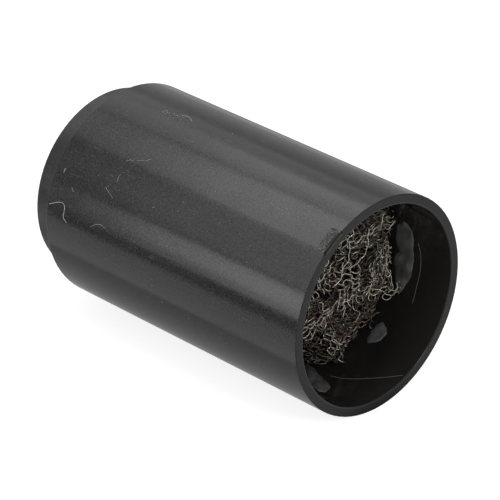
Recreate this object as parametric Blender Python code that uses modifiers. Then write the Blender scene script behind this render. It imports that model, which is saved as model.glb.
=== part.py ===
"""Exhaust muffler for compressed air.

A moulded plastic tube, open at the outlet end, steps down at the inlet end to a short neck with a tapered
pipe thread inside. A perforated screen sits on the inlet boss, three pads of knitted wire fill the bore
in front of it, and dabs of adhesive on the bore wall hold the front pad in.

The axis is +X. The origin is the centre of the inlet face, and the outlet rim faces +X. Metres, +Z up.
"""

import math

import bmesh
import bpy
from mathutils import Matrix, Vector

INCH = 0.0254
GAP = 0.0003  # between separate pieces that touch

# Body moulding
BODY_RADIUS = 1.0 * INCH
BODY_SIDES = 80
TOTAL_LENGTH = 0.0850
NECK_RADIUS = 0.875 * INCH
NECK_LENGTH = 0.0067
BORE_RADIUS_RIM = 0.0231
BORE_RADIUS_FLOOR = 0.0228
BORE_FLOOR_X = 0.0105
BOSS_RADIUS = 0.0202
BOSS_END_X = 0.0205
RIM_ROUNDING = 0.0002
MOUTH_ROUNDING = 0.0003  # of the bore's edge at the rim
SHOULDER_ROUNDING = 0.0003
NECK_ROOT_ROUNDING = 0.0004
NECK_ROUNDING = 0.00025
BOSS_ROUNDING = 0.0005
BORE_FLOOR_ROUNDING = 0.0008
ROUNDING_STEPS = 3
MERGE_DISTANCE = 0.00001  # closes the seam where a full turn meets its start
SHARP_ANGLE = math.radians(35)

# Inlet thread, a 1 inch tapered pipe thread
THREAD_PITCH = INCH / 11.5
THREAD_MINOR_RADIUS = 0.0150  # at the inlet face
THREAD_HEIGHT = 0.00145
THREAD_TAPER = 1.0 / 32.0  # radius lost per length
THREAD_SIDES = 40
THREAD_PROFILE = ((0.0, 0.0), (0.12, 0.0), (0.5, 1.0), (0.62, 1.0))  # (share of pitch, share of height)
THREAD_OVERRUN = 1.6 * THREAD_PITCH  # how far the tap starts outside the inlet face
PILOT_RADIUS = 0.0138
MOUTH_CHAMFER_RADIUS = 0.0174

# Gate mark left where the moulding's runner was broken off, outside by the rim
GATE_LENGTH = 0.0022
GATE_WIDTH = 0.0046
GATE_HEIGHT = 0.00035
GATE_DEPTH = 0.0010  # how deep the block starts inside the wall
GATE_ANGLE = math.radians(125.0)
GATE_SETBACK = 0.0001  # from the rim's plane

# Inlet screen
SCREEN_THICKNESS = 0.0008
SCREEN_RADIUS = 0.0222
SCREEN_SIDES = 48
SCREEN_HOLE_RADIUS = 0.0014
SCREEN_HOLE_SIDES = 12
SCREEN_HOLE_PITCH = 0.0048
SCREEN_RINGS = 3

# Knitted wire packing
PAD_NAMES = ("mesh_pad_inlet", "mesh_pad_middle", "mesh_pad_outlet")
PAD_RADIUS = 0.0223
PAD_EDGE = 0.0022
PAD_SIDES = 48
PACKING_END_X = 0.0690

# Adhesive dabs on the bore wall: (name, angle from +Y towards +Z, centre X, half length, half width)
DAB_HEIGHT = 0.0011
DAB_SEGMENTS = 20
DAB_RINGS = 12
DABS = (
    ("adhesive_dab_side", math.radians(-3.0), 0.0723, 0.0026, 0.0075),
    ("adhesive_dab_lower", math.radians(-51.0), 0.0723, 0.0026, 0.0028),
    ("adhesive_dab_bottom", math.radians(-98.0), 0.0738, 0.0044, 0.0036),
)

BLACK_PLASTIC = ((0.030, 0.030, 0.031), 0.45, 0.0)  # colour, roughness, metallic
GLOSSY_ADHESIVE = ((0.020, 0.020, 0.021), 0.15, 0.0)
KNITTED_STEEL = ((0.36, 0.33, 0.30), 0.35, 1.0)
SHEET_STEEL = ((0.55, 0.55, 0.54), 0.35, 1.0)


def clear_scene():
    for obj in list(bpy.data.objects):
        bpy.data.objects.remove(obj, do_unlink=True)


def new_collection(name):
    collection = bpy.data.collections.new(name)
    bpy.context.scene.collection.children.link(collection)
    return collection


def new_material(name, finish):
    colour, roughness, metallic = finish
    material = bpy.data.materials.new(name)
    material.use_nodes = True
    shader = material.node_tree.nodes["Principled BSDF"]
    shader.inputs["Base Color"].default_value = (*colour, 1.0)
    shader.inputs["Roughness"].default_value = roughness
    shader.inputs["Metallic"].default_value = metallic
    return material


def new_part(name, mesh, collection, finish):
    """One piece of the muffler, with a material of its own."""
    obj = bpy.data.objects.new(name, mesh)
    collection.objects.link(obj)
    mesh.materials.append(new_material(name, finish))
    return obj


def new_cutter(name, mesh, cutters):
    obj = bpy.data.objects.new(name, mesh)
    cutters.objects.link(obj)
    obj.hide_render = True
    obj.display_type = "WIRE"
    return obj


def mesh_from(bm, name):
    bmesh.ops.recalc_face_normals(bm, faces=bm.faces)
    mesh = bpy.data.meshes.new(name)
    bm.to_mesh(mesh)
    bm.free()
    return mesh


def smooth(mesh):
    mesh.shade_smooth()
    mesh.set_sharp_from_angle(angle=SHARP_ANGLE)


def around_axis(angle, radius, x):
    """The point at an angle about +X, counted from +Y towards +Z."""
    return Vector((x, radius * math.cos(angle), radius * math.sin(angle)))


def rounded(corners):
    """The (radius, x) outline through corners of (radius, x, rounding), each rounded by an arc."""
    outline = []
    for i, (radius, x, rounding) in enumerate(corners):
        here = Vector((radius, x))
        if not rounding:
            outline.append(here)
            continue
        before = (Vector(corners[i - 1][:2]) - here).normalized()
        after = (Vector(corners[(i + 1) % len(corners)][:2]) - here).normalized()
        half_angle = before.angle(after) / 2
        centre = here + (before + after).normalized() * rounding / math.sin(half_angle)
        start = here + before * rounding / math.tan(half_angle) - centre
        end = here + after * rounding / math.tan(half_angle) - centre
        for step in range(ROUNDING_STEPS + 1):
            outline.append(centre + start.slerp(end, step / ROUNDING_STEPS) * rounding)
    return outline


def turned(name, outline, sides, collection, finish):
    """A piece turned about the X axis, from a (radius, x) outline that runs down its outer side."""
    edges = [(i, i + 1) for i in range(len(outline) - 1)]
    is_ring = all(radius > 0 for radius, x in outline)
    if is_ring:
        edges.append((len(outline) - 1, 0))
    mesh = bpy.data.meshes.new(name)
    mesh.from_pydata([(radius, 0.0, x) for radius, x in outline], edges, [])
    obj = new_part(name, mesh, collection, finish)
    obj.rotation_euler = (0.0, math.pi / 2, 0.0)
    screw = obj.modifiers.new("turn", "SCREW")
    screw.steps = sides
    screw.render_steps = sides
    screw.use_merge_vertices = True
    screw.merge_threshold = MERGE_DISTANCE
    screw.use_smooth_shade = True
    return obj


def combine(obj, tool, operation):
    boolean = obj.modifiers.new(tool.name, "BOOLEAN")
    boolean.object = tool
    boolean.operation = operation
    boolean.solver = "EXACT"


def thread_columns(bm):
    """Columns of points along the tapered thread, each column a step further down the helix."""
    turns = math.ceil((BOSS_END_X + 2 * THREAD_OVERRUN) / THREAD_PITCH)
    columns = []
    for side in range(THREAD_SIDES):
        turned_by = side / THREAD_SIDES
        column = []
        for turn in range(turns):
            for share, height in THREAD_PROFILE:
                x = (turn + share + turned_by) * THREAD_PITCH - THREAD_OVERRUN
                radius = THREAD_MINOR_RADIUS + height * THREAD_HEIGHT - max(x, 0.0) * THREAD_TAPER
                column.append(bm.verts.new(around_axis(2 * math.pi * turned_by, radius, x)))
        columns.append(column)
    return columns


def thread_tap(cutters):
    """The solid that cuts the inlet thread: strips between the columns, and a fan over each end."""
    bm = bmesh.new()
    columns = thread_columns(bm)
    per_turn = len(THREAD_PROFILE)
    following = columns[1:] + [columns[0][per_turn:]]
    for column, neighbour in zip(columns, following):
        for row in range(len(neighbour) - 1):
            bm.faces.new((column[row], neighbour[row], neighbour[row + 1], column[row + 1]))
    first_loop = [column[0] for column in columns] + columns[0][per_turn:0:-1]
    last_loop = [column[-1] for column in columns] + columns[-1][-2 : -2 - per_turn : -1]
    for loop in (first_loop, last_loop):
        middle_x = sum(vert.co.x for vert in loop) / len(loop)
        middle = bm.verts.new((middle_x, 0.0, 0.0))
        for vert, next_vert in zip(loop, loop[1:] + loop[:1]):
            bm.faces.new((middle, vert, next_vert))
    bmesh.ops.triangulate(bm, faces=bm.faces)
    return new_cutter("thread_tap", mesh_from(bm, "thread_tap"), cutters)


def gate_block(cutters):
    """The stub of the moulding's runner, joined to the body by the rim."""
    bm = bmesh.new()
    size = (GATE_LENGTH, GATE_HEIGHT + GATE_DEPTH, GATE_WIDTH)
    bmesh.ops.create_cube(bm, size=1.0, matrix=Matrix.Diagonal((*size, 1.0)))
    x = TOTAL_LENGTH - GATE_SETBACK - GATE_LENGTH / 2
    radius = BODY_RADIUS + (GATE_HEIGHT - GATE_DEPTH) / 2
    place = Matrix.Translation(around_axis(GATE_ANGLE, radius, x)) @ Matrix.Rotation(GATE_ANGLE, 4, "X")
    bm.transform(place)
    return new_cutter("gate_block", mesh_from(bm, "gate_block"), cutters)


def muffler_body(collection, cutters):
    """The one-piece moulding: tube, end wall, neck and threaded inlet boss."""
    mouth_chamfer = MOUTH_CHAMFER_RADIUS - PILOT_RADIUS
    corners = (
        (BODY_RADIUS, TOTAL_LENGTH, RIM_ROUNDING),
        (BODY_RADIUS, NECK_LENGTH, SHOULDER_ROUNDING),
        (NECK_RADIUS, NECK_LENGTH, NECK_ROOT_ROUNDING),
        (NECK_RADIUS, 0.0, NECK_ROUNDING),
        (MOUTH_CHAMFER_RADIUS, 0.0, 0.0),
        (PILOT_RADIUS, mouth_chamfer, 0.0),
        (PILOT_RADIUS, BOSS_END_X, 0.0),
        (BOSS_RADIUS, BOSS_END_X, BOSS_ROUNDING),
        (BOSS_RADIUS, BORE_FLOOR_X, BORE_FLOOR_ROUNDING),
        (BORE_RADIUS_FLOOR, BORE_FLOOR_X, BORE_FLOOR_ROUNDING),
        (BORE_RADIUS_RIM, TOTAL_LENGTH, MOUTH_ROUNDING),
    )
    body = turned("muffler_body", rounded(corners), BODY_SIDES, collection, BLACK_PLASTIC)
    combine(body, thread_tap(cutters), "DIFFERENCE")
    combine(body, gate_block(cutters), "UNION")


def hole_centres():
    """The screen's holes, one in the middle and rings of a hexagonal grid around it."""
    centres = []
    for column in range(-SCREEN_RINGS, SCREEN_RINGS + 1):
        for row in range(-SCREEN_RINGS, SCREEN_RINGS + 1):
            if abs(column + row) <= SCREEN_RINGS:
                y = (column + row / 2) * SCREEN_HOLE_PITCH
                z = row * math.sqrt(3) / 2 * SCREEN_HOLE_PITCH
                centres.append((y, z))
    return centres


def screen_punch(middle_x, cutters):
    bm = bmesh.new()
    facing_x = Matrix.Rotation(math.pi / 2, 4, "Y")
    for y, z in hole_centres():
        bmesh.ops.create_cone(
            bm,
            cap_ends=True,
            segments=SCREEN_HOLE_SIDES,
            radius1=SCREEN_HOLE_RADIUS,
            radius2=SCREEN_HOLE_RADIUS,
            depth=2 * SCREEN_THICKNESS,
            matrix=Matrix.Translation((middle_x, y, z)) @ facing_x,
        )
    return new_cutter("screen_punch", mesh_from(bm, "screen_punch"), cutters)


def disc_outline(radius, low_x, high_x, rounding=0.0):
    corners = ((0.0, high_x, 0.0), (radius, high_x, rounding), (radius, low_x, rounding), (0.0, low_x, 0.0))
    return rounded(corners)


def inlet_screen(collection, cutters):
    """The perforated disc on the inlet boss. Returns the X of its outlet side."""
    low_x = BOSS_END_X + GAP
    high_x = low_x + SCREEN_THICKNESS
    outline = disc_outline(SCREEN_RADIUS, low_x, high_x)
    screen = turned("inlet_screen", outline, SCREEN_SIDES, collection, SHEET_STEEL)
    combine(screen, screen_punch((low_x + high_x) / 2, cutters), "DIFFERENCE")
    return high_x


def mesh_pads(start_x, collection):
    """The packing: equal pads of knitted wire, one behind the other."""
    count = len(PAD_NAMES)
    length = (PACKING_END_X - start_x - (count - 1) * GAP) / count
    for i, name in enumerate(PAD_NAMES):
        low_x = start_x + i * (length + GAP)
        outline = disc_outline(PAD_RADIUS, low_x, low_x + length, PAD_EDGE)
        turned(name, outline, PAD_SIDES, collection, KNITTED_STEEL)


def bore_radius(x):
    share = (x - BORE_FLOOR_X) / (TOTAL_LENGTH - BORE_FLOOR_X)
    return BORE_RADIUS_FLOOR + share * (BORE_RADIUS_RIM - BORE_RADIUS_FLOOR)


def adhesive_dab(name, angle, middle_x, half_length, half_width, collection):
    """A sphere laid out on the bore wall: its inner half is the dab's crown, its outer half its foot."""
    bm = bmesh.new()
    bmesh.ops.create_uvsphere(bm, u_segments=DAB_SEGMENTS, v_segments=DAB_RINGS, radius=1.0)
    for vert in bm.verts:
        along, around, up = vert.co
        x = middle_x + along * half_length
        foot_radius = bore_radius(x) - GAP
        turn = angle + around * half_width / BORE_RADIUS_RIM
        vert.co = around_axis(turn, foot_radius - max(up, 0.0) * DAB_HEIGHT, x)
    mesh = mesh_from(bm, name)
    smooth(mesh)
    new_part(name, mesh, collection, GLOSSY_ADHESIVE)


def main():
    clear_scene()
    parts = new_collection("pneumatic_muffler")
    cutters = new_collection("cutters")
    muffler_body(parts, cutters)
    screen_outlet_x = inlet_screen(parts, cutters)
    mesh_pads(screen_outlet_x + GAP, parts)
    for name, angle, middle_x, half_length, half_width in DABS:
        adhesive_dab(name, angle, middle_x, half_length, half_width, parts)


main()
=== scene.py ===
import math

import bmesh
import bpy
import numpy as np
from mathutils import Matrix, Vector


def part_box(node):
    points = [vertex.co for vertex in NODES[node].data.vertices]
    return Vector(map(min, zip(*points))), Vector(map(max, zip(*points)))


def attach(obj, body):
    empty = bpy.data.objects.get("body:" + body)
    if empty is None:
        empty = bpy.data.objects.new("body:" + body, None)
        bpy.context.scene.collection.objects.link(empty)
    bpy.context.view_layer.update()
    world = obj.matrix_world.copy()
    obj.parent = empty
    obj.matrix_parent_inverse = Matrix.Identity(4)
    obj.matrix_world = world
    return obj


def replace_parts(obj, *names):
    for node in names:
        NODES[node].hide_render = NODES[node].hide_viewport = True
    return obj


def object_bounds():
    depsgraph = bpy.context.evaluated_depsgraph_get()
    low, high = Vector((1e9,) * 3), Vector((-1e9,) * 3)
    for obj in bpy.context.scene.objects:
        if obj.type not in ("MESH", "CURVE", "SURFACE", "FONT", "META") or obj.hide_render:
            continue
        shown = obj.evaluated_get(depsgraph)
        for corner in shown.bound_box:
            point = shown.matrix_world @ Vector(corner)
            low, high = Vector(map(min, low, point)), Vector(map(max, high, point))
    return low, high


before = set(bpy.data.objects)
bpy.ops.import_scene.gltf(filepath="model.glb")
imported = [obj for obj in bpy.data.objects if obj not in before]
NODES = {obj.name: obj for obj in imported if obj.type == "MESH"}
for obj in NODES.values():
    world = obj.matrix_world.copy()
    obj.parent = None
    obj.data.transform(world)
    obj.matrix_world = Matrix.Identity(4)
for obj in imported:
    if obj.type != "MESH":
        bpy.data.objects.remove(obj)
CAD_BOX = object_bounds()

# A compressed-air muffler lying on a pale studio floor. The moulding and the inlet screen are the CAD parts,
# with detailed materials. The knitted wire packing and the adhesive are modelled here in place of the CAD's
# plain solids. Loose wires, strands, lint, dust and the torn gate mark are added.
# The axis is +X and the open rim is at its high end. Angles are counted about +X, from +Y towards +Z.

MM = 0.001
LOW, HIGH = CAD_BOX
RIM_X = HIGH.x
BODY_RADIUS = 25.4 * MM
BORE_RADIUS = 23.0 * MM  # of the room that the packing fills
WALL_RADIUS = 23.1 * MM  # of the bore's wall near the rim
RIM_FACE_RADII = (23.35 * MM, 23.6 * MM)  # the bore's look gives way to the rim's between these
SHOULDER_X = 6.7 * MM

# Seeds of the random draws
PACKING_SEED = 11
DAB_SEED = 5
STRAND_SEED = 23
LINT_SEED = 31
SCAR_SEED = 47

# Knitted wire
WIRE_RADIUS = 0.11 * MM
KNIT_WALE = 3.8 * MM  # width of one knitted loop
KNIT_COURSE = 1.35 * MM  # spacing of the rows of loops
KNIT_RISE = 1.2 * MM  # half the height of a loop
KNIT_BULGE = 0.60 * MM  # how far a loop's head is wider than its neck
KNIT_DEPTH = 0.25 * MM  # how far its wires weave out of the flat
KNIT_STEP = 0.045  # along a scrap's wires, in loops
KNIT_SHIFT = 0.3  # between the rows of a scrap, radians of a loop
SHEET_CRUMPLE = 1.5 * MM
# Wire looks: name, colour, roughness. Each look after the bright one is a darker copy of the same steel,
# painted shade for wires lying deeper in the packing, with warm and olive tints.
WIRE_LOOKS = (
    ("bright", (0.41, 0.38, 0.32), 0.26),
    ("shaded_warm", (0.15, 0.112, 0.102), 0.30),
    ("shaded_olive", (0.125, 0.127, 0.095), 0.32),
    ("deep", (0.095, 0.075, 0.065), 0.42),
)
LOOSE_WIRE_LOOK = ((0.50, 0.47, 0.41), 0.26)
# Slices of the outlet pad: name, look, near and far depth behind the pad's end in mm,
# number of scraps over the bore and in a ring at its wall, typical lean in degrees. Deeper slices take
# darker looks: painted shade.
OUTLET_SLICES = (
    ("knit_outlet_1", "bright", 0.2, 1.6, 15, 5, 18),
    ("knit_outlet_2", "shaded_warm", 0.8, 2.8, 22, 18, 25),
    ("knit_outlet_3", "shaded_olive", 1.6, 4.5, 26, 20, 32),
    ("knit_outlet_4", "deep", 4.5, 12.0, 36, 12, 32),
)
FRONT_MARGIN = 0.8 * MM  # wires further than this in front of the pad's end are pressed back
# The inner pads, in looks darkened as painted shade: node, name of the sheets, look, number of sheets, step
# along the wire in loops
INNER_PADS = (
    ("mesh_pad_middle", "knit_middle", "deep", 4, 0.07),
    ("mesh_pad_inlet", "knit_inlet", "shaded_warm", 5, 0.06),
)
# How far the packing's edge stands out of the pad's end, round the bore: angle in degrees, mm
EDGE_STATIONS = (
    (-180, 0.0), (-104, -5.0), (-92, -3.0), (-84, 0.2), (-79, 1.6), (-69, -1.2), (-59, -0.8), (-50, 0.8),
    (-38, 1.5), (-22, 2.0), (-9, -1.0), (8, -1.0), (32, 2.6), (70, 1.0), (180, 0.0),
)
LOOSE_WIRES = 30
LOOSE_WIRE_X = 70.2 * MM
GOLDEN_ANGLE = math.pi * (3 - math.sqrt(5))  # spreads points evenly over a disc

# Adhesive dabs: name, node, angle, X, half length, half width, height (degrees and mm),
# skew in degrees a mm of X, widening towards the mouth, depth of the notch on the inner side
DABS = (
    ("film_side", "adhesive_dab_side", -2.5, 71.25, 3.45, 8.3, 0.35, 0.0, 0.0, 0.5),
    ("film_lower", "adhesive_dab_lower", -51.0, 71.5, 2.2, 2.6, 0.45, 0.0, 0.0, 0.0),
    ("film_bottom", "adhesive_dab_bottom", -100.0, 70.4, 6.0, 2.6, 0.50, -1.6, 0.35, 0.0),
)
DAB_WAVES = ((2, 0.10), (3, 0.09), (5, 0.05), (9, 0.03))  # of the outline: waves a turn, share of its size
DAB_NOTCH_WIDTH = 0.25  # radians
DAB_RINGS = 12
DAB_SPOKES = 72
DAB_SINK = 0.04 * MM  # how deep a dab's foot sits in the wall

SMOOTHING = 9  # neighbouring points of a fibre's route that are averaged
# Strands on the bore wall: name, radius and sway in mm, route through points of (X in mm, angle in degrees)
STRANDS = (
    ("strand_side", 0.06, 0.15, ((75.4, 8), (76.1, 1), (76.3, -8), (76.1, -17), (76.3, -28))),
    ("strand_bottom", 0.08, 0.34,
     ((71.0, -90.5), (73.2, -89), (75.7, -83), (78.2, -77.5), (81.5, -72.5), (84.2, -67.5))),
)
# Lint on the tube: name, radius in mm, routes through points of (X in mm, angle in degrees)
LINT = (
    ("lint_thick", 0.055, (
        ((7.5, 167.7), (9.4, 165.3), (11.4, 164.3), (12.5, 165.5), (12.4, 169.2), (12.3, 171.7),
         (13.6, 173.6)),
        ((9.4, 149.7), (9.3, 148.5), (9.6, 147.2)),
        ((25.5, 92.6), (27.0, 91.6), (28.6, 92.2), (29.5, 94.0)),
    )),
    ("lint_fine", 0.028, (
        ((22.6, 147.1), (24.3, 149.6), (25.7, 150.4)),
        ((25.0, 142.3), (24.8, 140.6), (25.0, 138.3)),
        ((24.3, 131.1), (26.2, 129.0)),
        ((26.8, 128.8), (28.5, 127.5), (30.2, 125.3)),
        ((21.3, 168.9), (22.6, 167.1), (24.7, 165.6), (26.0, 166.5)),
        ((13.1, 154.5), (13.4, 155.5), (14.1, 156.5)),
        ((37.4, 146.8), (37.9, 145.6)),
        ((21.4, 96.4), (21.6, 93.6), (22.2, 94.6), (22.5, 96.4), (21.6, 96.6)),
        ((23.8, 94.4), (24.8, 94.3), (25.4, 94.6)),
        ((29.6, 96.0), (29.6, 97.4)),
    )),
)
# Clusters of dust on the tube: middle X and angle, reach along X and round the tube (mm, degrees), grains
DUST = (
    (25.0, 95.0, 5.0, 4.0, 40),
    (24.0, 140.0, 9.0, 9.0, 30),
    (70.0, 118.0, 8.0, 9.0, 40),
    (45.0, 125.0, 30.0, 50.0, 110),
    (50.0, 200.0, 26.0, 14.0, 20),
)
DUST_SPREAD = 0.6  # typical distance of a grain from the middle, as a share of the cluster's reach
DUST_X = (8.0, 84.0)  # mm, dust stays between these

# The torn gate mark on the outside by the rim
SCAR_ANGLE = math.radians(125.0)
SCAR_HALF_WIDTH = 3.2 * MM
SCAR_LENGTH = 3.0 * MM
SCAR_HEIGHT = 0.50 * MM
SCAR_SLOPE = 0.6 * MM  # width of its sloping edge
SCAR_INSET = 0.3 * MM  # of its ragged outline from the edge of its grid, and of its full height from the rim
SCAR_COLUMNS = 96
SCAR_ROWS = 50

CAMERA_AZIMUTH = math.radians(45.17)
CAMERA_ELEVATION = math.radians(28.06)
CAMERA_DISTANCE = 0.6546
CAMERA_AIM = Vector((0.0616, -0.0155, 0.0106))
CAMERA_LENS = 221.0

FLOOR_GAP = 0.05 * MM  # between the muffler and the floor
FLOOR_REACH = 3.0
GLOW_MIDDLE = (0.0, 0.05, 0.0)
GLOW_RADII = (0.17, 0.9)  # the floor's glow fades between these
GLOW_STRENGTHS = (0.83, 0.20)  # within the first radius and past the second
GLOW_LAMP_RISE = 0.02 * MM  # of the glow lamps over the floor

WORLD_STRENGTH = 0.62
FRONT_LAMP_PLACE = Vector((0.70, -0.10, 0.40))
FRONT_LAMP_TARGET = Vector((0.07, 0.0, 0.0))
FRONT_LAMP_SIZE = 0.2
FRONT_LAMP_RADIANCE = 12.0
STRIP_DISTANCE = 0.55  # of the strip lights from the muffler's axis
# Glow of the floor on the muffler: name, X range, Y range (metres), radiance
FLOOR_GLOWS = (
    ("floor_front", 0.088, 0.40, -0.25, 0.35, 0.60),
    ("floor_side_rim", -0.14, 0.12, -0.32, -0.19, 3.4),
    ("floor_side_far", -0.30, 0.12, -0.55, -0.32, 3.8),
    ("floor_near", -0.60, 0.085, -0.088, -0.038, 1.0),
    ("floor_under", -0.60, 0.085, -0.038, 0.02, 0.34),
    ("floor_rear", -0.60, 0.085, 0.03, 0.075, 0.50),
    ("floor_back", -0.90, 0.085, 0.17, 0.90, 0.25),
)
# Strip lights along the muffler: name, from and to angle, X range (degrees and metres), radiance
STRIPS = (
    ("back_low", 36, 51, -1.2, 0.2, 0.65),
    ("back_top_wide", 51, 77, -1.2, 0.2, 1.05),
    ("back_top_rim", 56, 81, -0.41, 0.2, 1.6),
    ("top_wide", 79, 116, -1.2, 0.2, 1.0),
    ("top_rim", 82, 122, -0.42, 0.2, 3.4),
    ("side_rim", 120, 161, -0.435, 0.2, 1.95),
    ("low_rim", 164, 182.5, -0.42, 0.2, 4.9),
)


# ---------------------------------------------------------------- node materials


class Tree:
    """A material's or world's node tree, with a short way to add and link nodes."""

    def __init__(self, owner):
        owner.use_nodes = True
        self.tree = owner.node_tree

    def add(self, kind, inputs=None, **settings):
        node = self.tree.nodes.new(kind)
        for key, value in settings.items():
            setattr(node, key, value)
        for key, value in (inputs or {}).items():
            self.feed(node.inputs[key], value)
        return node

    def feed(self, socket, value):
        if isinstance(value, bpy.types.NodeSocket):
            self.tree.links.new(value, socket)
        else:
            socket.default_value = value

    def math(self, operation, a, b=0.0):
        return self.add("ShaderNodeMath", {0: a, 1: b}, operation=operation).outputs[0]

    def noise(self, vector, scale, detail=4.0, roughness=0.5):
        inputs = {"Vector": vector, "Scale": scale, "Detail": detail, "Roughness": roughness}
        return self.add("ShaderNodeTexNoise", inputs).outputs["Fac"]

    def span(self, value, low, high, to_low=0.0, to_high=1.0):
        """value from low to high, mapped to to_low to to_high and clamped there."""
        inputs = {0: value, 1: low, 2: high, 3: to_low, 4: to_high}
        return self.add("ShaderNodeMapRange", inputs).outputs[0]

    def mix(self, factor, a, b):
        """Number a where factor is 0, number b where it is 1."""
        node = self.add("ShaderNodeMix")
        for index, value in ((0, factor), (2, a), (3, b)):
            self.feed(node.inputs[index], value)
        return node.outputs[0]

    def blend(self, factor, a, b):
        """Colour a where factor is 0, colour b where it is 1."""
        node = self.add("ShaderNodeMix", data_type="RGBA")
        for index, value in ((0, factor), (6, a), (7, b)):
            self.feed(node.inputs[index], value)
        return node.outputs[2]

    def bump(self, height, strength, distance):
        inputs = {"Height": height, "Strength": strength, "Distance": distance}
        return self.add("ShaderNodeBump", inputs).outputs["Normal"]

    def stretch(self, vector, scale, rotation=(0.0, 0.0, 0.0)):
        inputs = {"Vector": vector, "Scale": scale, "Rotation": rotation}
        return self.add("ShaderNodeMapping", inputs).outputs[0]

    def position(self):
        return self.add("ShaderNodeTexCoord").outputs["Object"]


def new_material(name):
    material = bpy.data.materials.new(name)
    tree = Tree(material)
    return material, tree, tree.tree.nodes["Principled BSDF"]


def grey(value, warmth=0.0):
    """A grey, reddish if warmth is above 0 and bluish if it is below."""
    return (value * (1 + warmth), value, value * (1 - warmth), 1.0)


def plastic_material():
    """Black moulded plastic: satin outside, glossy in the bore, with scratches and scuffs."""
    material, t, shader = new_material("black_plastic_look")
    place = t.position()
    # Which part of the moulding a point is on: 1 there and 0 elsewhere
    x, y, z = t.add("ShaderNodeSeparateXYZ", {0: place}).outputs
    radius = t.math("SQRT", t.math("ADD", t.math("MULTIPLY", y, y), t.math("MULTIPLY", z, z)))
    past_shoulder = t.span(x, SHOULDER_X - 0.1 * MM, SHOULDER_X + 0.1 * MM)
    near_axis = t.span(radius, *RIM_FACE_RADII, 1.0, 0.0)
    bore = t.math("MULTIPLY", past_shoulder, near_axis)
    at_rim = t.span(x, RIM_X - 0.16 * MM, RIM_X - 0.06 * MM)
    rim_face = t.math("MULTIPLY", t.math("SUBTRACT", 1.0, near_axis), at_rim)
    outside = t.math("SUBTRACT", 1.0, bore)

    # Scratches along the tube and aslant, on the outside only
    along = t.span(t.noise(t.stretch(place, (60.0, 900.0, 900.0)), 3.0, 2.0), 0.68, 0.72)
    slanted = t.stretch(place, (900.0, 90.0, 90.0), (0.0, 0.0, 0.5))
    across = t.span(t.noise(slanted, 3.0, 2.0), 0.71, 0.74)
    scratches = t.math("MULTIPLY", t.math("MAXIMUM", along, across), outside)

    mottle = t.span(t.noise(place, 3000.0, 2.0, 0.6), 0.35, 0.65)
    base = t.blend(bore, t.blend(mottle, grey(0.001), grey(0.013, 0.02)), grey(0.011, 0.09))
    worn = t.blend(t.math("MULTIPLY", scratches, 0.10), base, grey(0.10))
    handled = t.math("MULTIPLY", t.span(t.noise(place, 35.0, 5.0, 0.65), 0.45, 0.75), outside)
    t.feed(shader.inputs["Base Color"], t.blend(t.math("MULTIPLY", handled, 0.03), worn, grey(0.08)))

    satin = t.span(t.noise(place, 110.0, 5.0), 0.3, 0.7, 0.13, 0.18)
    matt_neck = t.mix(past_shoulder, 0.28, satin)
    matt_rim = t.mix(rim_face, matt_neck, 0.45)
    bore_gloss = t.span(t.noise(place, 60.0, 3.0), 0.3, 0.7, 0.10, 0.18)
    t.feed(shader.inputs["Roughness"], t.mix(bore, matt_rim, bore_gloss))
    shader.inputs["IOR"].default_value = 1.3

    grain = t.noise(place, 1500.0, 6.0, 0.6)
    relief = t.math("SUBTRACT", grain, t.math("MULTIPLY", scratches, 0.6))
    t.feed(shader.inputs["Normal"], t.bump(relief, 0.5, 0.03 * MM))
    return material


def wire_material(name, colour, roughness):
    """Drawn stainless wire, dulled, with grain and duller stretches."""
    material, t, shader = new_material(name)
    place = t.position()
    shader.inputs["Base Color"].default_value = (*colour, 1.0)
    shader.inputs["Metallic"].default_value = 1.0
    grain = t.noise(place, 3000.0, 3.0)
    stain = t.span(t.noise(place, 300.0, 3.0), 0.4, 0.65, 0.0, 0.18)
    gloss = t.span(grain, 0.3, 0.7, roughness - 0.08, roughness + 0.08)
    t.feed(shader.inputs["Roughness"], t.math("ADD", gloss, stain))
    t.feed(shader.inputs["Normal"], t.bump(grain, 0.25, 0.01 * MM))
    return material


def adhesive_material():
    """Set adhesive: cloudy dark grey with a soft sheen."""
    material, t, shader = new_material("adhesive_look")
    place = t.position()
    cloud = t.noise(place, 330.0, 4.0)
    t.feed(shader.inputs["Base Color"], t.blend(t.span(cloud, 0.35, 0.65), grey(0.042), grey(0.105, -0.02)))
    t.feed(shader.inputs["Roughness"], t.span(cloud, 0.3, 0.7, 0.30, 0.45))
    t.feed(shader.inputs["Normal"], t.bump(t.noise(place, 500.0, 3.0), 0.3, 0.05 * MM))
    return material


def sheet_steel_material():
    """Rolled stainless sheet with a fine grain along one direction."""
    material, t, shader = new_material("sheet_steel_look")
    grain = t.noise(t.stretch(t.position(), (1.0, 1.0, 24.0)), 160.0, 5.0, 0.6)
    t.feed(shader.inputs["Base Color"], t.blend(grain, grey(0.42, 0.02), grey(0.55, 0.01)))
    shader.inputs["Metallic"].default_value = 1.0
    t.feed(shader.inputs["Roughness"], t.span(grain, 0.3, 0.7, 0.28, 0.42))
    t.feed(shader.inputs["Normal"], t.bump(grain, 0.15, 0.02 * MM))
    return material


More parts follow.
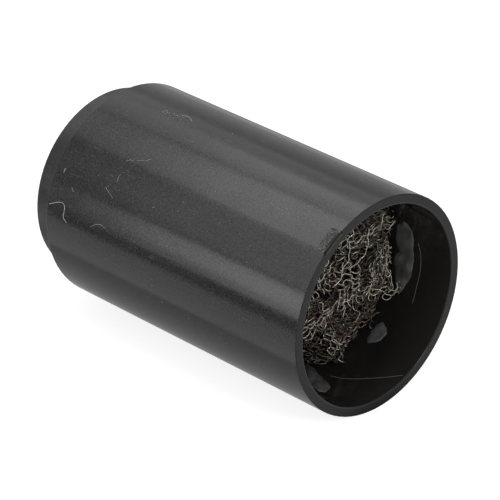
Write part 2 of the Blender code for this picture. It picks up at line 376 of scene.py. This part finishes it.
def scar_material():
    """Torn plastic: speckled with pale grains, with painted shade along the rim's edge."""
    material, t, shader = new_material("scar_look")
    place = t.position()
    x = t.add("ShaderNodeSeparateXYZ", {0: place}).outputs[0]
    grains = t.span(t.noise(place, 2600.0, 3.0, 0.7), 0.38, 0.66)
    speckle = t.blend(grains, grey(0.020), grey(0.220, 0.02))
    # Painted shade: the colour goes near black along the rim, where the scar's torn front stands over the
    # rim's edge.
    painted_rim_shade = t.span(x, RIM_X - 0.45 * MM, RIM_X - 0.25 * MM)
    t.feed(shader.inputs["Base Color"], t.blend(painted_rim_shade, speckle, grey(0.001)))
    t.feed(shader.inputs["Roughness"], t.span(grains, 0.0, 1.0, 0.35, 0.6))
    shader.inputs["IOR"].default_value = 1.3
    t.feed(shader.inputs["Normal"], t.bump(grains, 0.5, 0.05 * MM))
    return material


def dust_material(name, tone, roughness):
    """Lint, dust or broken plastic: pale, matt and a little uneven."""
    material, t, shader = new_material(name)
    cloud = t.noise(t.position(), 900.0, 3.0)
    t.feed(shader.inputs["Base Color"], t.blend(cloud, grey(0.7 * tone), grey(1.2 * tone, 0.02)))
    t.feed(shader.inputs["Roughness"], t.span(cloud, 0.3, 0.7, roughness - 0.1, roughness + 0.1))
    t.feed(shader.inputs["Normal"], t.bump(cloud, 0.3, 0.03 * MM))
    return material


# ---------------------------------------------------------------- carried-over nodes


def smooth_normals(obj, angle=math.radians(38)):
    """Shades a faceted node smooth, apart from edges sharper than the angle. Its shape stays as it is."""
    mesh = obj.data
    points = np.zeros(len(mesh.vertices) * 3)
    mesh.vertices.foreach_get("co", points)
    corner_points = np.zeros(len(mesh.loops), dtype=int)
    mesh.loops.foreach_get("vertex_index", corner_points)
    corner_faces = np.repeat(np.arange(len(mesh.polygons)), [p.loop_total for p in mesh.polygons])
    normals = np.zeros(len(mesh.polygons) * 3)
    mesh.polygons.foreach_get("normal", normals)
    areas = np.zeros(len(mesh.polygons))
    mesh.polygons.foreach_get("area", areas)
    normals = normals.reshape(-1, 3)
    places = np.round(points.reshape(-1, 3)[corner_points] / 1e-7).astype(np.int64)
    group_of = np.unique(places, axis=0, return_inverse=True)[1].ravel()
    order = np.argsort(group_of, kind="stable")
    starts = np.flatnonzero(np.diff(group_of[order], prepend=-1))
    corner_normals = np.zeros((len(mesh.loops), 3))
    for corners in np.split(order, starts[1:]):
        faces = corner_faces[corners]
        own = normals[faces]
        alike = (own @ own.T) > math.cos(angle)
        corner_normals[corners] = alike @ (own * areas[faces][:, None])
    corner_normals /= np.linalg.norm(corner_normals, axis=1)[:, None]
    mesh.polygons.foreach_set("use_smooth", np.ones(len(mesh.polygons), dtype=bool))
    mesh.normals_split_custom_set(corner_normals.tolist())


def dress_node(name, material):
    """Gives a CAD node its material and smooth shading."""
    obj = NODES[name]
    for slot in obj.material_slots:
        slot.material = material
    smooth_normals(obj)


# ---------------------------------------------------------------- pieces


def add_piece(name, mesh, material):
    """Adds a mesh to the scene as a piece that belongs to the muffler."""
    mesh.materials.clear()
    mesh.materials.append(material)
    mesh.shade_smooth()
    obj = bpy.data.objects.new(name, mesh)
    bpy.context.scene.collection.objects.link(obj)
    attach(obj, "root")
    return obj


def tubes_mesh(name, paths, radius, sides_level=1):
    """Round wires along the given point arrays, as one mesh."""
    curve = bpy.data.curves.new(name, "CURVE")
    curve.dimensions = "3D"
    curve.bevel_depth = radius
    curve.bevel_resolution = sides_level
    curve.use_fill_caps = True
    for points in paths:
        spline = curve.splines.new("POLY")
        spline.points.add(len(points) - 1)
        spline.points.foreach_set("co", np.column_stack([points, np.ones(len(points))]).ravel())
    guide = bpy.data.objects.new(name + "_guide", curve)
    bpy.context.scene.collection.objects.link(guide)
    graph = bpy.context.evaluated_depsgraph_get()
    mesh = bpy.data.meshes.new_from_object(guide.evaluated_get(graph), depsgraph=graph)
    bpy.data.objects.remove(guide)
    mesh.name = name
    return mesh


def face_outward(mesh):
    """Turns all faces of a closed mesh outward."""
    bm = bmesh.new()
    bm.from_mesh(mesh)
    bmesh.ops.recalc_face_normals(bm, faces=bm.faces)
    bm.to_mesh(mesh)
    bm.free()


def around_axis(angles, radii, xs):
    """Points at angles about +X, counted from +Y towards +Z."""
    return np.stack(np.broadcast_arrays(xs, radii * np.cos(angles), radii * np.sin(angles)), -1)


# ---------------------------------------------------------------- knitted wire


class Waves:
    """A smooth random field over the plane: a sum of sine waves in random directions."""

    def __init__(self, rng, height, shortest, longest, count=7):
        lengths = rng.uniform(shortest, longest, count)
        headings = rng.uniform(0, 2 * np.pi, count)
        self.k = 2 * np.pi / lengths[:, None] * np.stack([np.cos(headings), np.sin(headings)], 1)
        self.phases = rng.uniform(0, 2 * np.pi, count)
        self.height = height * math.sqrt(2 / count)

    def __call__(self, u, v):
        angles = u[..., None] * self.k[:, 0] + v[..., None] * self.k[:, 1] + self.phases
        return self.height * np.sin(angles).sum(-1)


def squeeze(y, z, margin):
    """Presses wires that are within the margin of the bore's wall inward, so that none goes through it."""
    free = BORE_RADIUS - margin
    room = margin - 2.0 * WIRE_RADIUS
    radius = np.hypot(y, z)
    pressed = free + room * (1 - np.exp(-np.maximum(radius - free, 0) / room))
    scale = np.where(radius > free, pressed / np.maximum(radius, 1e-9), 1.0)
    return y * scale, z * scale


def kept_runs(points, kept, shortest):
    """The unbroken runs of kept points that are longer than the shortest."""
    runs = np.split(np.arange(len(points)), np.flatnonzero(np.diff(kept.astype(int))) + 1)
    return [points[run] for run in runs if len(run) > shortest and kept[run[0]]]


def crumpled_sheet(rng, middle_x, step):
    """The wires of one crumpled sheet of knitted mesh across the bore, as point arrays."""
    reach = BORE_RADIUS + 3.0 * MM
    heave = Waves(rng, SHEET_CRUMPLE, 7.0 * MM, 14.0 * MM)
    slide = [Waves(rng, 1.1 * MM, 9.0 * MM, 17.0 * MM) for axis in range(2)]
    kink = [Waves(rng, 0.13 * MM, 2.0 * MM, 4.5 * MM) for axis in range(2)]
    ripple = Waves(rng, 0.2 * MM, 2.0 * MM, 5.0 * MM)
    heading = rng.uniform(0, 2 * np.pi)
    wires = []
    for course in range(-int(reach / KNIT_COURSE), int(reach / KNIT_COURSE) + 1):
        row = course * KNIT_COURSE
        half = math.sqrt(max(reach**2 - row**2, (4 * MM) ** 2))
        loops = half / KNIT_WALE
        t = np.arange(-loops, loops, step) * 2 * np.pi + rng.uniform(0, 0.6)
        along = KNIT_WALE * t / (2 * np.pi) + KNIT_BULGE * np.sin(2 * t)
        across = row + KNIT_RISE * np.cos(t)
        u = along * math.cos(heading) - across * math.sin(heading)
        v = along * math.sin(heading) + across * math.cos(heading)
        x = middle_x + heave(u, v) + ripple(u, v) + KNIT_DEPTH * np.cos(2 * t)
        y = u + slide[0](u, v) + kink[0](u, v)
        z = v + slide[1](u, v) + kink[1](u, v)
        kept = np.hypot(y, z) < reach
        y, z = squeeze(y, z, 3.0 * MM)
        wires += kept_runs(np.stack([x, y, z], 1), kept, 6)
    return wires


def follow_edge(points):
    """Shifts points along the bore, most at its wall, so that the packing's front has its uneven edge."""
    x, y, z = points.T
    angles, stand_out = np.array(EDGE_STATIONS).T
    reach = np.clip(np.hypot(y, z) / BORE_RADIUS, 0, 1) ** 2
    shift = np.interp(np.degrees(np.arctan2(z, y)), angles, stand_out) * MM
    return np.stack([x + reach * shift, y, z], 1)


def knit_scrap(rng, middle, front_x, lean_angle):
    """The wires of a small bent scrap of knitted mesh about a point in the bore, as point arrays."""
    courses = int(rng.integers(3, 6))
    wales = int(rng.integers(3, 6))
    kink = [Waves(rng, 0.11 * MM, 1.5 * MM, 4.0 * MM) for axis in range(3)]
    bend_p, bend_q, twist = rng.uniform(-1, 1, 3) * (0.10, 0.16, 0.08) / MM
    turn = Matrix.Rotation(rng.uniform(0, 2 * np.pi), 3, "X")
    lean = Matrix.Rotation(rng.normal(0, lean_angle), 3, "Y")
    to_bore = np.array(turn @ lean)
    phase = rng.uniform(0, 2 * np.pi)
    wires = []
    for course in range(courses):
        # p runs along the row, q across the rows and n out of the scrap
        t = np.arange(0, wales, KNIT_STEP) * 2 * np.pi + phase + rng.uniform(-KNIT_SHIFT, KNIT_SHIFT)
        p = KNIT_WALE * ((t - phase) / (2 * np.pi) - wales / 2) + KNIT_BULGE * np.sin(2 * t)
        q = (course - (courses - 1) / 2) * KNIT_COURSE + KNIT_RISE * np.cos(t)
        n = KNIT_DEPTH * np.cos(2 * t) + 0.5 * (bend_p * p**2 + bend_q * q**2) + twist * p * q
        local = np.stack([n + kink[0](p, q), p + kink[1](p, q), q + kink[2](p, q)], 1)
        x, y, z = (local @ to_bore.T + middle).T
        x = np.where(x > front_x, front_x + MM * np.tanh((x - front_x) / MM), x)
        kept = np.hypot(y, z) < BORE_RADIUS + 1.0 * MM
        y, z = squeeze(y, z, 2.5 * MM)
        wires += kept_runs(follow_edge(np.stack([x, y, z], 1)), kept, 12)
    return wires


def pack_scraps(rng, node, end_x, slice_shape, looks):
    """Fills a slice of a pad with scraps of knitted mesh: some over the bore, and a ring at its wall."""
    name, look, near, far, count, at_wall, lean = slice_shape
    reach = BORE_RADIUS - 1.0 * MM
    places = []
    for i in range(count):
        places.append((reach * math.sqrt((i + rng.uniform(0, 1)) / count), i * GOLDEN_ANGLE))
    for i in range(at_wall):
        places.append((BORE_RADIUS - 2.5 * MM, 2 * np.pi * i / at_wall))
    wires = []
    for spread, around in places:
        around += rng.uniform(-0.1, 0.1)
        middle = around_axis(around, spread, rng.uniform(end_x - far * MM, end_x - near * MM))
        wires += knit_scrap(rng, middle, end_x + FRONT_MARGIN, math.radians(lean))
    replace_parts(add_piece(name, tubes_mesh(name, wires, WIRE_RADIUS), looks[look]), node)


def pack_sheets(rng, node, label, look, sheets, step):
    """Replaces a pad's solid with crumpled sheets of knitted wire, one behind the other."""
    low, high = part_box(node)
    spacing = (high.x - low.x) / sheets
    for i in range(sheets):
        name = f"{label}_{i + 1}"
        wires = crumpled_sheet(rng, high.x - (i + 0.5) * spacing, step)
        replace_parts(add_piece(name, tubes_mesh(name, wires, WIRE_RADIUS, 0), look), node)


def make_packing():
    """Replaces the three pads' solids with knitted wire."""
    looks = {}
    for name, colour, roughness in WIRE_LOOKS:
        looks[name] = wire_material(f"wire_{name}", colour, roughness)
    rng = np.random.default_rng(PACKING_SEED)
    node = "mesh_pad_outlet"
    end_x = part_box(node)[1].x
    for slice_shape in OUTLET_SLICES:
        pack_scraps(rng, node, end_x, slice_shape, looks)
    for node, label, look, sheets, step in INNER_PADS:
        pack_sheets(rng, node, label, looks[look], sheets, step)


# ---------------------------------------------------------------- adhesive


def dab_outline(turn, notch, rng):
    """A dab's reach at each angle of turn, as a share of its plain ellipse."""
    outline = np.ones(len(turn))
    for waves, size in DAB_WAVES:
        outline = outline + size * np.sin(waves * turn + rng.uniform(0, 6))
    return outline - notch * np.exp(-((turn - math.pi) / DAB_NOTCH_WIDTH) ** 2)


def round_shell_faces(rings, spokes):
    """Faces of a closed round shell. Its points are the rings of its top from the inside out, those of its
    bottom inside the shared rim, and the middles of both."""
    top = [[r * spokes + s for s in range(spokes)] for r in range(rings - 1)]
    under = (rings - 1) * spokes
    bottom = [[under + r * spokes + s for s in range(spokes)] for r in range(rings - 2)] + [top[-1]]
    top_middle = under + (rings - 2) * spokes
    faces = []
    for rows, middle in ((top, top_middle), (bottom, top_middle + 1)):
        for s in range(spokes):
            n = (s + 1) % spokes
            faces.append([middle, rows[0][s], rows[0][n]])
            for inner, outer in zip(rows, rows[1:]):
                faces.append([inner[s], outer[s], outer[n], inner[n]])
    return faces


def film_dab(shape, rng, material):
    """A dab spread on the bore wall, with an uneven outline. Its foot is sunk a little into the wall."""
    name, node, angle, *sizes, skew, flare, notch = shape
    middle_x, half_length, half_width, height = (size * MM for size in sizes)
    turn = np.linspace(0, 2 * np.pi, DAB_SPOKES, endpoint=False)
    outline = dab_outline(turn, notch, rng)
    swell = Waves(rng, 0.12, 1.5 * MM, 4.0 * MM)
    share = np.linspace(0, 1, DAB_RINGS)[:, None]
    along = share * outline * half_length * np.cos(turn)
    around = share * outline * half_width * np.sin(turn) * (1 + flare * np.cos(turn))
    x = middle_x + along
    angles = math.radians(angle) + around / WALL_RADIUS + math.radians(skew) * along / MM
    lift = height * np.sqrt(1 - share**3) * (1 + swell(along, around))
    foot = WALL_RADIUS + DAB_SINK
    top = around_axis(angles, foot - lift, x)
    bottom = around_axis(angles, foot + DAB_SINK / 2, x)
    points = np.concatenate([top[1:].reshape(-1, 3), bottom[1:-1].reshape(-1, 3), top[0, :1], bottom[0, :1]])
    mesh = bpy.data.meshes.new(name)
    mesh.from_pydata(points.tolist(), [], round_shell_faces(DAB_RINGS, DAB_SPOKES))
    face_outward(mesh)
    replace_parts(add_piece(name, mesh, material), node)


def make_adhesive():
    """Replaces the dabs' solids with films on the bore wall."""
    rng = np.random.default_rng(DAB_SEED)
    look = adhesive_material()
    for shape in DABS:
        film_dab(shape, rng, look)


# ---------------------------------------------------------------- loose wires, lint and marks


def wall_path(ends, radius, sway, rng, count=40):
    """A wavering path over a cylinder, through points of (X in mm, angle in degrees)."""
    stations = np.linspace(0, len(ends) - 1, count)
    xs = np.interp(stations, range(len(ends)), [x * MM for x, angle in ends])
    angles = np.interp(stations, range(len(ends)), [math.radians(angle) for x, angle in ends])
    window = np.hanning(SMOOTHING) / np.hanning(SMOOTHING).sum()
    padded = [np.pad(values, SMOOTHING // 2, mode="reflect", reflect_type="odd") for values in (xs, angles)]
    xs, angles = (np.convolve(values, window, mode="valid") for values in padded)
    waver = sway * np.sin(stations / max(stations) * rng.uniform(7, 12) + rng.uniform(0, 6))
    return around_axis(angles + waver / radius, radius, xs)


def make_strands(rng):
    """Fine strands stuck to the bore wall."""
    look = dust_material("strand_look", 0.10, 0.45)
    for name, radius, sway, route in STRANDS:
        path = wall_path(route, WALL_RADIUS - 0.08 * MM, sway * MM, rng)
        add_piece(name, tubes_mesh(name, [path], radius * MM), look)


def loose_wire(rng, middle):
    """A crimped and bent piece of wire that lies across the packing's front, about a point."""
    direction = rng.uniform(0, 2 * np.pi)
    length = rng.uniform(4.0, 10.0) * MM
    s = np.linspace(-0.5, 0.5, 60)
    sweep = rng.uniform(-1.6, 1.6) * MM * np.cos(2 * np.pi * s * rng.uniform(0.4, 1.0) + rng.uniform(0, 6))
    crimp = rng.uniform(0.15, 0.6) * MM * np.sin(length * s * rng.uniform(1.7, 2.6) / MM)
    bend = sweep + crimp
    rise = rng.uniform(0.2, 1.0) * MM * np.cos(np.pi * s)
    y = length * s * math.cos(direction) - bend * math.sin(direction)
    z = length * s * math.sin(direction) + bend * math.cos(direction)
    y, z = squeeze(middle[1] + y, middle[2] + z, 3.0 * MM)
    return follow_edge(np.stack([middle[0] + rise, y, z], 1))


def make_loose_wires(rng):
    """Wire ends that stand out of the packing."""
    look = wire_material("wire_loose", *LOOSE_WIRE_LOOK)
    paths = []
    for i in range(LOOSE_WIRES):
        spread = (BORE_RADIUS - 3.0 * MM) * math.sqrt((i + rng.uniform(0, 1)) / LOOSE_WIRES)
        heading = i * GOLDEN_ANGLE + rng.uniform(-0.3, 0.3)
        paths.append(loose_wire(rng, around_axis(heading, spread, LOOSE_WIRE_X)))
    add_piece("wire_ends", tubes_mesh("wire_ends", paths, 0.9 * WIRE_RADIUS), look)


def make_lint(rng, look):
    """Fibres on the outside of the tube."""
    for name, radius, routes in LINT:
        paths = [wall_path(route, BODY_RADIUS + 0.03 * MM, 0.12 * MM, rng) for route in routes]
        add_piece(name, tubes_mesh(name, paths, radius * MM), look)


def make_dust(rng, look):
    """Grains of dust on the outside of the tube, thickest at the middle of each cluster."""
    bm = bmesh.new()
    for middle_x, middle_angle, reach_x, reach_angle, count in DUST:
        for i in range(count):
            x = np.clip(middle_x + reach_x * rng.normal() * DUST_SPREAD, *DUST_X) * MM
            angle = math.radians(middle_angle + reach_angle * rng.normal() * DUST_SPREAD)
            size = rng.uniform(0.025, 0.07) * MM
            made = bmesh.ops.create_icosphere(bm, subdivisions=1, radius=size)
            place = Vector(around_axis(angle, BODY_RADIUS + 0.2 * size, x).tolist())
            bmesh.ops.translate(bm, verts=made["verts"], vec=place)
    mesh = bpy.data.meshes.new("dust")
    bm.to_mesh(mesh)
    bm.free()
    add_piece("dust", mesh, look)


def slab_faces(rows, columns):
    """Faces of a closed slab between two grids of points, the top one's and then the bottom one's."""
    under = rows * columns
    faces = []
    for r in range(rows - 1):
        for c in range(columns - 1):
            corner = r * columns + c
            quad = [corner, corner + 1, corner + columns + 1, corner + columns]
            faces += [quad, [under + q for q in quad[::-1]]]
    edge = list(range(columns)) + [r * columns + columns - 1 for r in range(1, rows)]
    edge += [(rows - 1) * columns + c for c in range(columns - 2, -1, -1)]
    edge += [r * columns for r in range(rows - 2, 0, -1)]
    for a, b in zip(edge, edge[1:] + edge[:1]):
        faces.append([a, under + a, under + b, b])
    return faces


def make_gate_scar():
    """The rough, torn end of the moulding's runner over the gate stub, up to the rim's edge."""
    rng = np.random.default_rng(SCAR_SEED)
    across, down = np.meshgrid(np.linspace(-1, 1, SCAR_COLUMNS) * SCAR_HALF_WIDTH,
                               np.linspace(0, 1, SCAR_ROWS) * SCAR_LENGTH)
    tears = Waves(rng, 0.035 * MM, 0.22 * MM, 0.48 * MM, 24)
    ragged = Waves(rng, 0.16 * MM, 0.35 * MM, 1.2 * MM, 16)
    to_edge = np.minimum(SCAR_HALF_WIDTH - np.abs(across), SCAR_LENGTH - down)
    inland = np.clip((to_edge - SCAR_INSET + ragged(across, down)) / SCAR_SLOPE, 0, 1)
    mound = inland**2 * (3 - 2 * inland) * np.clip(down / SCAR_INSET, 0, 1)
    grit = rng.uniform(-0.03, 0.03, across.shape) * MM
    crust = (SCAR_HEIGHT + tears(across, down) + grit) * mound - 0.03 * MM
    angles = SCAR_ANGLE + across / BODY_RADIUS
    xs = RIM_X + 0.04 * MM - down
    top = around_axis(angles, BODY_RADIUS + crust, xs)
    bottom = around_axis(angles, BODY_RADIUS - 0.9 * MM, xs)
    points = np.concatenate([top.reshape(-1, 3), bottom.reshape(-1, 3)])
    mesh = bpy.data.meshes.new("gate_scar")
    mesh.from_pydata(points.tolist(), [], slab_faces(SCAR_ROWS, SCAR_COLUMNS))
    face_outward(mesh)
    add_piece("gate_scar", mesh, scar_material())


# ---------------------------------------------------------------- stage


def make_stage():
    """The floor. It glows around the muffler, for a white background, without lighting the moulding."""
    mesh = bpy.data.meshes.new("floor")
    bm = bmesh.new()
    bmesh.ops.create_grid(bm, x_segments=1, y_segments=1, size=FLOOR_REACH)
    bmesh.ops.translate(bm, verts=bm.verts, vec=(0.0, 0.0, LOW.z - FLOOR_GAP))
    bm.to_mesh(mesh)
    bm.free()
    floor = bpy.data.objects.new("floor", mesh)
    bpy.context.scene.collection.objects.link(floor)
    material, t, shader = new_material("floor_look")
    shader.inputs["Base Color"].default_value = grey(0.55)
    shader.inputs["Roughness"].default_value = 0.8
    shader.inputs["Specular IOR Level"].default_value = 0.1
    shader.inputs["Emission Color"].default_value = grey(1.0)
    ends = {0: t.position(), 1: GLOW_MIDDLE}
    distance = t.add("ShaderNodeVectorMath", ends, operation="DISTANCE").outputs["Value"]
    fade = {0: distance, 1: GLOW_RADII[0], 2: GLOW_RADII[1], 3: GLOW_STRENGTHS[0], 4: GLOW_STRENGTHS[1]}
    glow = t.add("ShaderNodeMapRange", fade, interpolation_type="SMOOTHSTEP").outputs[0]
    t.feed(shader.inputs["Emission Strength"], glow)
    mesh.materials.append(material)
    unlit = bpy.data.collections.new("floor_glow_unlit")
    unlit.objects.link(NODES["muffler_body"])
    unlit.collection_objects[0].light_linking.link_state = "EXCLUDE"
    floor.light_linking.receiver_collection = unlit


def make_lamp(name, place, rotation, size, radiance):
    """A rectangular area lamp. Its radiance is how bright its reflection can be, whatever its size."""
    light = bpy.data.lights.new(name, "AREA")
    light.shape = "RECTANGLE"
    light.size, light.size_y = size
    light.energy = radiance * math.pi * size[0] * size[1]
    lamp = bpy.data.objects.new(name, light)
    lamp.location = place
    lamp.rotation_euler = rotation
    lamp.visible_camera = False
    bpy.context.scene.collection.objects.link(lamp)
    return lamp


def make_front_lamp():
    """A soft lamp in front of the open end, which lights the packing."""
    facing = (FRONT_LAMP_TARGET - FRONT_LAMP_PLACE).normalized()
    rotation = facing.to_track_quat("-Z", "Y").to_euler()
    make_lamp("front", FRONT_LAMP_PLACE, rotation, (FRONT_LAMP_SIZE, FRONT_LAMP_SIZE), FRONT_LAMP_RADIANCE)


def make_floor_glows():
    """Lamps just above the floor that face up, and stand for the floor's glow on the moulding."""
    face_up = (math.pi, 0.0, 0.0)
    lamps = []
    for name, low_x, high_x, low_y, high_y, radiance in FLOOR_GLOWS:
        place = ((low_x + high_x) / 2, (low_y + high_y) / 2, LOW.z - FLOOR_GAP + GLOW_LAMP_RISE)
        lamps.append(make_lamp(name, place, face_up, (high_x - low_x, high_y - low_y), radiance))
    return lamps


def make_strips():
    """Strip lights about the muffler's axis, for the reflections along the moulding."""
    lamps = []
    for name, start, end, low_x, high_x, radiance in STRIPS:
        middle = math.radians((start + end) / 2)
        height = 2 * STRIP_DISTANCE * math.tan(math.radians(end - start) / 2)
        place = around_axis(middle, STRIP_DISTANCE, (low_x + high_x) / 2)
        inward = -Vector((0.0, math.cos(middle), math.sin(middle)))
        rotation = inward.to_track_quat("-Z", "X").to_euler()
        lamps.append(make_lamp(name, place, rotation, (height, high_x - low_x), radiance))
    return lamps


def light_only_moulding(lamps):
    """Keeps the lamps' light off everything but the moulding."""
    receivers = bpy.data.collections.new("strip_receivers")
    receivers.objects.link(NODES["muffler_body"])
    for lamp in lamps:
        lamp.light_linking.receiver_collection = receivers


def make_world():
    """An even white surround."""
    world = bpy.data.worlds.new("studio")
    bpy.context.scene.world = world
    background = Tree(world).tree.nodes["Background"]
    background.inputs["Color"].default_value = grey(1.0)
    background.inputs["Strength"].default_value = WORLD_STRENGTH


def make_camera():
    """A long lens that looks down on the tube, from in front of its open end and to one side."""
    data = bpy.data.cameras.new("camera")
    data.lens = CAMERA_LENS
    data.sensor_width = 36.0
    data.clip_start = 0.01
    camera = bpy.data.objects.new("camera", data)
    back = Vector((
        math.sin(CAMERA_AZIMUTH) * math.cos(CAMERA_ELEVATION),
        -math.cos(CAMERA_AZIMUTH) * math.cos(CAMERA_ELEVATION),
        math.sin(CAMERA_ELEVATION),
    ))
    camera.location = CAMERA_AIM + CAMERA_DISTANCE * back
    camera.rotation_euler = back.to_track_quat("Z", "Y").to_euler()
    bpy.context.scene.collection.objects.link(camera)
    bpy.context.scene.camera = camera


make_camera()
make_world()
make_stage()
light_only_moulding(make_floor_glows() + make_strips())
make_front_lamp()
dress_node("muffler_body", plastic_material())
dress_node("inlet_screen", sheet_steel_material())
make_packing()
make_adhesive()
strand_rng = np.random.default_rng(STRAND_SEED)
make_strands(strand_rng)
make_loose_wires(strand_rng)
lint_look = dust_material("lint_look", 0.55, 0.7)
lint_rng = np.random.default_rng(LINT_SEED)
make_lint(lint_rng, lint_look)
make_dust(lint_rng, lint_look)
make_gate_scar()
bpy.context.scene.view_settings.view_transform = "Standard"
